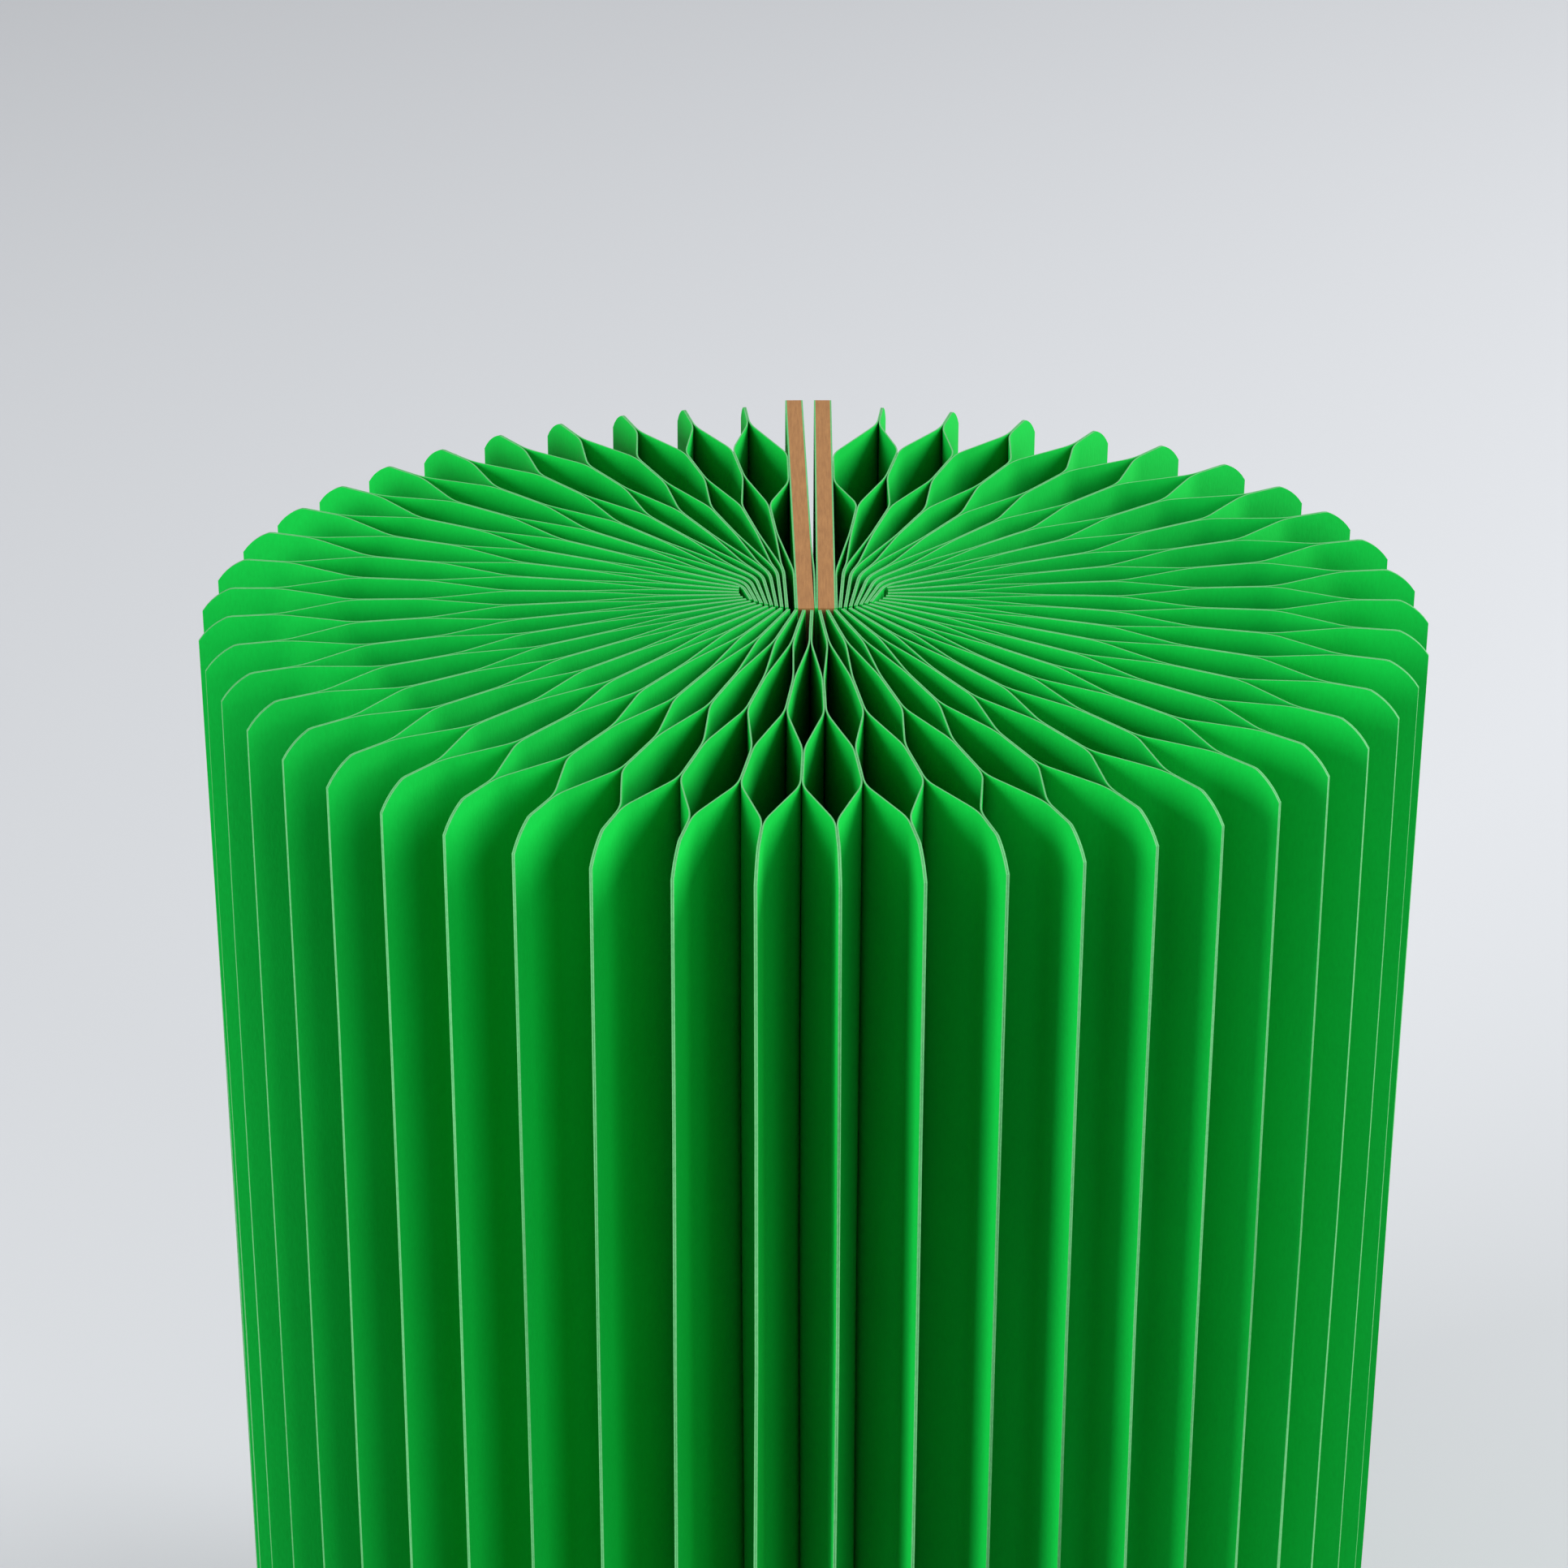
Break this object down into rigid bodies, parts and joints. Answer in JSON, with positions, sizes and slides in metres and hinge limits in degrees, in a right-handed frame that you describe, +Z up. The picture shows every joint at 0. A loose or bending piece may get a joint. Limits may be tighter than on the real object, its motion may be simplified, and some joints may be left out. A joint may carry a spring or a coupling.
{
  "type": "accordion paper lantern",
  "caption": "Accordion paper lantern: upright honeycomb pleats of card fanned full circle between two stiff covers that stand back to back.",
  "frame": {"origin": "middle of the footprint, on the surface the lantern stands on", "axes": "+Z up along the pleats; the covers stand to the rear (+Y) of the spine and the fan opens round to the front (-Y)"},
  "size_m": [0.2302, 0.2088, 0.297],
  "materials": {
    "green_card": "uncoated solid-dyed card, matte, fine fibre grain",
    "cover_board": "raw edge of thin medium-density fibreboard",
    "hook_and_loop": "woven nylon hook-and-loop"
  },
  "bodies": {
    "front_leaf": {"leaf_25": "green_card"},
    "left_cover": {"left_cover_board": "cover_board", "left_outer_facing": "green_card", "left_inner_facing": "green_card", "hook_pads": "hook_and_loop"},
    "pleat_01": {"leaf_01": "green_card"},
    "pleat_02": {"leaf_02": "green_card"},
    "pleat_03": {"leaf_03": "green_card"},
    "pleat_04": {"leaf_04": "green_card"},
    "pleat_05": {"leaf_05": "green_card"},
    "pleat_06": {"leaf_06": "green_card"},
    "pleat_07": {"leaf_07": "green_card"},
    "pleat_08": {"leaf_08": "green_card"},
    "pleat_09": {"leaf_09": "green_card"},
    "pleat_10": {"leaf_10": "green_card"},
    "pleat_11": {"leaf_11": "green_card"},
    "pleat_12": {"leaf_12": "green_card"},
    "pleat_13": {"leaf_13": "green_card"},
    "pleat_14": {"leaf_14": "green_card"},
    "pleat_15": {"leaf_15": "green_card"},
    "pleat_16": {"leaf_16": "green_card"},
    "pleat_17": {"leaf_17": "green_card"},
    "pleat_18": {"leaf_18": "green_card"},
    "pleat_19": {"leaf_19": "green_card"},
    "pleat_20": {"leaf_20": "green_card"},
    "pleat_21": {"leaf_21": "green_card"},
    "pleat_22": {"leaf_22": "green_card"},
    "pleat_23": {"leaf_23": "green_card"},
    "pleat_24": {"leaf_24": "green_card"},
    "right_cover": {"right_cover_board": "cover_board", "right_outer_facing": "green_card", "right_inner_facing": "green_card", "loop_pads": "hook_and_loop"},
    "pleat_26": {"leaf_26": "green_card"},
    "pleat_27": {"leaf_27": "green_card"},
    "pleat_28": {"leaf_28": "green_card"},
    "pleat_29": {"leaf_29": "green_card"},
    "pleat_30": {"leaf_30": "green_card"},
    "pleat_31": {"leaf_31": "green_card"},
    "pleat_32": {"leaf_32": "green_card"},
    "pleat_33": {"leaf_33": "green_card"},
    "pleat_34": {"leaf_34": "green_card"},
    "pleat_35": {"leaf_35": "green_card"},
    "pleat_36": {"leaf_36": "green_card"},
    "pleat_37": {"leaf_37": "green_card"},
    "pleat_38": {"leaf_38": "green_card"},
    "pleat_39": {"leaf_39": "green_card"},
    "pleat_40": {"leaf_40": "green_card"},
    "pleat_41": {"leaf_41": "green_card"},
    "pleat_42": {"leaf_42": "green_card"},
    "pleat_43": {"leaf_43": "green_card"},
    "pleat_44": {"leaf_44": "green_card"},
    "pleat_45": {"leaf_45": "green_card"},
    "pleat_46": {"leaf_46": "green_card"},
    "pleat_47": {"leaf_47": "green_card"}
  },
  "joints": [
    {"name": "left_cover_fold", "type": "hinge", "parent": "front_leaf", "child": "left_cover", "pos_m": [-0.00944, -0.00299, 0.1485], "axis": [0, 0, 1], "range_deg": [0, 180.8], "deforming": ["leaf_25"]},
    {"name": "pleat_01_fold", "type": "hinge", "parent": "front_leaf", "child": "pleat_01", "pos_m": [-0.00959, -0.00024, 0.1485], "axis": [0, 0, 1], "range_deg": [0, 176.2], "deforming": ["leaf_01"]},
    {"name": "pleat_02_fold", "type": "hinge", "parent": "front_leaf", "child": "pleat_02", "pos_m": [-0.00876, -0.00038, 0.1485], "axis": [0, 0, 1], "range_deg": [0, 168.36], "deforming": ["leaf_02"]},
    {"name": "pleat_03_fold", "type": "hinge", "parent": "front_leaf", "child": "pleat_03", "pos_m": [-0.00823, -0.00029, 0.1485], "axis": [0, 0, 1], "range_deg": [0, 160.55], "deforming": ["leaf_03"]},
    {"name": "pleat_04_fold", "type": "hinge", "parent": "front_leaf", "child": "pleat_04", "pos_m": [-0.0079, -0.00001, 0.1485], "axis": [0, 0, 1], "range_deg": [0, 152.79], "deforming": ["leaf_04"]},
    {"name": "pleat_05_fold", "type": "hinge", "parent": "front_leaf", "child": "pleat_05", "pos_m": [-0.0077, 0.00042, 0.1485], "axis": [0, 0, 1], "range_deg": [0, 145.09], "deforming": ["leaf_05"]},
    {"name": "pleat_06_fold", "type": "hinge", "parent": "front_leaf", "child": "pleat_06", "pos_m": [-0.00761, 0.00094, 0.1485], "axis": [0, 0, 1], "range_deg": [0, 137.45], "deforming": ["leaf_06"]},
    {"name": "pleat_07_fold", "type": "hinge", "parent": "front_leaf", "child": "pleat_07", "pos_m": [-0.0076, 0.0015, 0.1485], "axis": [0, 0, 1], "range_deg": [0, 129.89], "deforming": ["leaf_07"]},
    {"name": "pleat_08_fold", "type": "hinge", "parent": "front_leaf", "child": "pleat_08", "pos_m": [-0.00763, 0.00203, 0.1485], "axis": [0, 0, 1], "range_deg": [0, 122.41], "deforming": ["leaf_08"]},
    {"name": "pleat_09_fold", "type": "hinge", "parent": "front_leaf", "child": "pleat_09", "pos_m": [-0.00766, 0.00251, 0.1485], "axis": [0, 0, 1], "range_deg": [0, 115.01], "deforming": ["leaf_09"]},
    {"name": "pleat_10_fold", "type": "hinge", "parent": "front_leaf", "child": "pleat_10", "pos_m": [-0.00764, 0.00287, 0.1485], "axis": [0, 0, 1], "range_deg": [0, 107.69], "deforming": ["leaf_10"]},
    {"name": "pleat_11_fold", "type": "hinge", "parent": "front_leaf", "child": "pleat_11", "pos_m": [-0.00753, 0.00311, 0.1485], "axis": [0, 0, 1], "range_deg": [0, 100.42], "deforming": ["leaf_11"]},
    {"name": "pleat_12_fold", "type": "hinge", "parent": "front_leaf", "child": "pleat_12", "pos_m": [-0.00726, 0.0032, 0.1485], "axis": [0, 0, 1], "range_deg": [0, 93.21], "deforming": ["leaf_12"]},
    {"name": "pleat_13_fold", "type": "hinge", "parent": "front_leaf", "child": "pleat_13", "pos_m": [-0.00685, 0.00318, 0.1485], "axis": [0, 0, 1], "range_deg": [0, 86.05], "deforming": ["leaf_13"]},
    {"name": "pleat_14_fold", "type": "hinge", "parent": "front_leaf", "child": "pleat_14", "pos_m": [-0.00638, 0.00317, 0.1485], "axis": [0, 0, 1], "range_deg": [0, 78.9], "deforming": ["leaf_14"]},
    {"name": "pleat_15_fold", "type": "hinge", "parent": "front_leaf", "child": "pleat_15", "pos_m": [-0.00588, 0.00317, 0.1485], "axis": [0, 0, 1], "range_deg": [0, 71.78], "deforming": ["leaf_15"]},
    {"name": "pleat_16_fold", "type": "hinge", "parent": "front_leaf", "child": "pleat_16", "pos_m": [-0.00534, 0.00317, 0.1485], "axis": [0, 0, 1], "range_deg": [0, 64.65], "deforming": ["leaf_16"]},
    {"name": "pleat_17_fold", "type": "hinge", "parent": "front_leaf", "child": "pleat_17", "pos_m": [-0.00477, 0.00317, 0.1485], "axis": [0, 0, 1], "range_deg": [0, 57.52], "deforming": ["leaf_17"]},
    {"name": "pleat_18_fold", "type": "hinge", "parent": "front_leaf", "child": "pleat_18", "pos_m": [-0.00417, 0.00317, 0.1485], "axis": [0, 0, 1], "range_deg": [0, 50.38], "deforming": ["leaf_18"]},
    {"name": "pleat_19_fold", "type": "hinge", "parent": "front_leaf", "child": "pleat_19", "pos_m": [-0.00356, 0.00317, 0.1485], "axis": [0, 0, 1], "range_deg": [0, 43.22], "deforming": ["leaf_19"]},
    {"name": "pleat_20_fold", "type": "hinge", "parent": "front_leaf", "child": "pleat_20", "pos_m": [-0.00292, 0.00317, 0.1485], "axis": [0, 0, 1], "range_deg": [0, 36.04], "deforming": ["leaf_20"]},
    {"name": "pleat_21_fold", "type": "hinge", "parent": "front_leaf", "child": "pleat_21", "pos_m": [-0.00227, 0.00318, 0.1485], "axis": [0, 0, 1], "range_deg": [0, 28.84], "deforming": ["leaf_21"]},
    {"name": "pleat_22_fold", "type": "hinge", "parent": "front_leaf", "child": "pleat_22", "pos_m": [-0.0016, 0.00318, 0.1485], "axis": [0, 0, 1], "range_deg": [0, 21.64], "deforming": ["leaf_22"]},
    {"name": "pleat_23_fold", "type": "hinge", "parent": "front_leaf", "child": "pleat_23", "pos_m": [-0.00093, 0.00319, 0.1485], "axis": [0, 0, 1], "range_deg": [0, 14.43], "deforming": ["leaf_23"]},
    {"name": "pleat_24_fold", "type": "hinge", "parent": "front_leaf", "child": "pleat_24", "pos_m": [-0.00026, 0.00319, 0.1485], "axis": [0, 0, 1], "range_deg": [0, 7.22], "deforming": ["leaf_24"]},
    {"name": "right_cover_fold", "type": "hinge", "parent": "front_leaf", "child": "right_cover", "pos_m": [0.00976, -0.00255, 0.1485], "axis": [0, 0, -1], "range_deg": [0, 178]},
    {"name": "pleat_26_fold", "type": "hinge", "parent": "front_leaf", "child": "pleat_26", "pos_m": [0.00109, 0.00321, 0.1485], "axis": [0, 0, -1], "range_deg": [0, 7.21], "deforming": ["leaf_26"]},
    {"name": "pleat_27_fold", "type": "hinge", "parent": "front_leaf", "child": "pleat_27", "pos_m": [0.00176, 0.00322, 0.1485], "axis": [0, 0, -1], "range_deg": [0, 14.37], "deforming": ["leaf_27"]},
    {"name": "pleat_28_fold", "type": "hinge", "parent": "front_leaf", "child": "pleat_28", "pos_m": [0.00242, 0.00323, 0.1485], "axis": [0, 0, -1], "range_deg": [0, 21.52], "deforming": ["leaf_28"]},
    {"name": "pleat_29_fold", "type": "hinge", "parent": "front_leaf", "child": "pleat_29", "pos_m": [0.00307, 0.00325, 0.1485], "axis": [0, 0, -1], "range_deg": [0, 28.66], "deforming": ["leaf_29"]},
    {"name": "pleat_30_fold", "type": "hinge", "parent": "front_leaf", "child": "pleat_30", "pos_m": [0.0037, 0.00327, 0.1485], "axis": [0, 0, -1], "range_deg": [0, 35.79], "deforming": ["leaf_30"]},
    {"name": "pleat_31_fold", "type": "hinge", "parent": "front_leaf", "child": "pleat_31", "pos_m": [0.00432, 0.00329, 0.1485], "axis": [0, 0, -1], "range_deg": [0, 42.93], "deforming": ["leaf_31"]},
    {"name": "pleat_32_fold", "type": "hinge", "parent": "front_leaf", "child": "pleat_32", "pos_m": [0.00492, 0.00331, 0.1485], "axis": [0, 0, -1], "range_deg": [0, 50.1], "deforming": ["leaf_32"]},
    {"name": "pleat_33_fold", "type": "hinge", "parent": "front_leaf", "child": "pleat_33", "pos_m": [0.00549, 0.00334, 0.1485], "axis": [0, 0, -1], "range_deg": [0, 57.3], "deforming": ["leaf_33"]},
    {"name": "pleat_34_fold", "type": "hinge", "parent": "front_leaf", "child": "pleat_34", "pos_m": [0.00603, 0.00337, 0.1485], "axis": [0, 0, -1], "range_deg": [0, 64.57], "deforming": ["leaf_34"]},
    {"name": "pleat_35_fold", "type": "hinge", "parent": "front_leaf", "child": "pleat_35", "pos_m": [0.00654, 0.00341, 0.1485], "axis": [0, 0, -1], "range_deg": [0, 71.93], "deforming": ["leaf_35"]},
    {"name": "pleat_36_fold", "type": "hinge", "parent": "front_leaf", "child": "pleat_36", "pos_m": [0.00701, 0.00345, 0.1485], "axis": [0, 0, -1], "range_deg": [0, 79.4], "deforming": ["leaf_36"]},
    {"name": "pleat_37_fold", "type": "hinge", "parent": "front_leaf", "child": "pleat_37", "pos_m": [0.00743, 0.0035, 0.1485], "axis": [0, 0, -1], "range_deg": [0, 87], "deforming": ["leaf_37"]},
    {"name": "pleat_38_fold", "type": "hinge", "parent": "front_leaf", "child": "pleat_38", "pos_m": [0.00773, 0.00348, 0.1485], "axis": [0, 0, -1], "range_deg": [0, 94.75], "deforming": ["leaf_38"]},
    {"name": "pleat_39_fold", "type": "hinge", "parent": "front_leaf", "child": "pleat_39", "pos_m": [0.00783, 0.00326, 0.1485], "axis": [0, 0, -1], "range_deg": [0, 102.67], "deforming": ["leaf_39"]},
    {"name": "pleat_40_fold", "type": "hinge", "parent": "front_leaf", "child": "pleat_40", "pos_m": [0.00781, 0.00287, 0.1485], "axis": [0, 0, -1], "range_deg": [0, 110.76], "deforming": ["leaf_40"]},
    {"name": "pleat_41_fold", "type": "hinge", "parent": "front_leaf", "child": "pleat_41", "pos_m": [0.00773, 0.00234, 0.1485], "axis": [0, 0, -1], "range_deg": [0, 119.02], "deforming": ["leaf_41"]},
    {"name": "pleat_42_fold", "type": "hinge", "parent": "front_leaf", "child": "pleat_42", "pos_m": [0.00765, 0.00172, 0.1485], "axis": [0, 0, -1], "range_deg": [0, 127.46], "deforming": ["leaf_42"]},
    {"name": "pleat_43_fold", "type": "hinge", "parent": "front_leaf", "child": "pleat_43", "pos_m": [0.00764, 0.00109, 0.1485], "axis": [0, 0, -1], "range_deg": [0, 136.06], "deforming": ["leaf_43"]},
    {"name": "pleat_44_fold", "type": "hinge", "parent": "front_leaf", "child": "pleat_44", "pos_m": [0.00774, 0.00053, 0.1485], "axis": [0, 0, -1], "range_deg": [0, 144.8], "deforming": ["leaf_44"]},
    {"name": "pleat_45_fold", "type": "hinge", "parent": "front_leaf", "child": "pleat_45", "pos_m": [0.00799, 0.00012, 0.1485], "axis": [0, 0, -1], "range_deg": [0, 153.66], "deforming": ["leaf_45"]},
    {"name": "pleat_46_fold", "type": "hinge", "parent": "front_leaf", "child": "pleat_46", "pos_m": [0.00846, -0.00004, 0.1485], "axis": [0, 0, -1], "range_deg": [0, 162.61], "deforming": ["leaf_46"]},
    {"name": "pleat_47_fold", "type": "hinge", "parent": "front_leaf", "child": "pleat_47", "pos_m": [0.00928, 0.00008, 0.1485], "axis": [0, 0, -1], "range_deg": [0, 171.61], "deforming": ["leaf_47"]}
  ],
  "couplings": [
    {"joint": "pleat_01_fold", "follows": "left_cover_fold", "ratio": 0.97443},
    {"joint": "pleat_02_fold", "follows": "left_cover_fold", "ratio": 0.93109},
    {"joint": "pleat_03_fold", "follows": "left_cover_fold", "ratio": 0.8879},
    {"joint": "pleat_04_fold", "follows": "left_cover_fold", "ratio": 0.84496},
    {"joint": "pleat_05_fold", "follows": "left_cover_fold", "ratio": 0.80235},
    {"joint": "pleat_06_fold", "follows": "left_cover_fold", "ratio": 0.76013},
    {"joint": "pleat_07_fold", "follows": "left_cover_fold", "ratio": 0.71832},
    {"joint": "pleat_08_fold", "follows": "left_cover_fold", "ratio": 0.67696},
    {"joint": "pleat_09_fold", "follows": "left_cover_fold", "ratio": 0.63603},
    {"joint": "pleat_10_fold", "follows": "left_cover_fold", "ratio": 0.5955},
    {"joint": "pleat_11_fold", "follows": "left_cover_fold", "ratio": 0.55533},
    {"joint": "pleat_12_fold", "follows": "left_cover_fold", "ratio": 0.51545},
    {"joint": "pleat_13_fold", "follows": "left_cover_fold", "ratio": 0.4758},
    {"joint": "pleat_14_fold", "follows": "left_cover_fold", "ratio": 0.4363},
    {"joint": "pleat_15_fold", "follows": "left_cover_fold", "ratio": 0.39688},
    {"joint": "pleat_16_fold", "follows": "left_cover_fold", "ratio": 0.35748},
    {"joint": "pleat_17_fold", "follows": "left_cover_fold", "ratio": 0.31804},
    {"joint": "pleat_18_fold", "follows": "left_cover_fold", "ratio": 0.27852},
    {"joint": "pleat_19_fold", "follows": "left_cover_fold", "ratio": 0.23891},
    {"joint": "pleat_20_fold", "follows": "left_cover_fold", "ratio": 0.19921},
    {"joint": "pleat_21_fold", "follows": "left_cover_fold", "ratio": 0.15941},
    {"joint": "pleat_22_fold", "follows": "left_cover_fold", "ratio": 0.11956},
    {"joint": "pleat_23_fold", "follows": "left_cover_fold", "ratio": 0.079683},
    {"joint": "pleat_24_fold", "follows": "left_cover_fold", "ratio": 0.039817},
    {"joint": "pleat_26_fold", "follows": "right_cover_fold", "ratio": 0.040364},
    {"joint": "pleat_27_fold", "follows": "right_cover_fold", "ratio": 0.080633},
    {"joint": "pleat_28_fold", "follows": "right_cover_fold", "ratio": 0.1208},
    {"joint": "pleat_29_fold", "follows": "right_cover_fold", "ratio": 0.1609},
    {"joint": "pleat_30_fold", "follows": "right_cover_fold", "ratio": 0.20098},
    {"joint": "pleat_31_fold", "follows": "right_cover_fold", "ratio": 0.24109},
    {"joint": "pleat_32_fold", "follows": "right_cover_fold", "ratio": 0.28133},
    {"joint": "pleat_33_fold", "follows": "right_cover_fold", "ratio": 0.32181},
    {"joint": "pleat_34_fold", "follows": "right_cover_fold", "ratio": 0.36266},
    {"joint": "pleat_35_fold", "follows": "right_cover_fold", "ratio": 0.404},
    {"joint": "pleat_36_fold", "follows": "right_cover_fold", "ratio": 0.44595},
    {"joint": "pleat_37_fold", "follows": "right_cover_fold", "ratio": 0.48866},
    {"joint": "pleat_38_fold", "follows": "right_cover_fold", "ratio": 0.5322},
    {"joint": "pleat_39_fold", "follows": "right_cover_fold", "ratio": 0.57667},
    {"joint": "pleat_40_fold", "follows": "right_cover_fold", "ratio": 0.62212},
    {"joint": "pleat_41_fold", "follows": "right_cover_fold", "ratio": 0.66856},
    {"joint": "pleat_42_fold", "follows": "right_cover_fold", "ratio": 0.71596},
    {"joint": "pleat_43_fold", "follows": "right_cover_fold", "ratio": 0.76427},
    {"joint": "pleat_44_fold", "follows": "right_cover_fold", "ratio": 0.81338},
    {"joint": "pleat_45_fold", "follows": "right_cover_fold", "ratio": 0.86315},
    {"joint": "pleat_46_fold", "follows": "right_cover_fold", "ratio": 0.91342},
    {"joint": "pleat_47_fold", "follows": "right_cover_fold", "ratio": 0.96399}
  ]
}
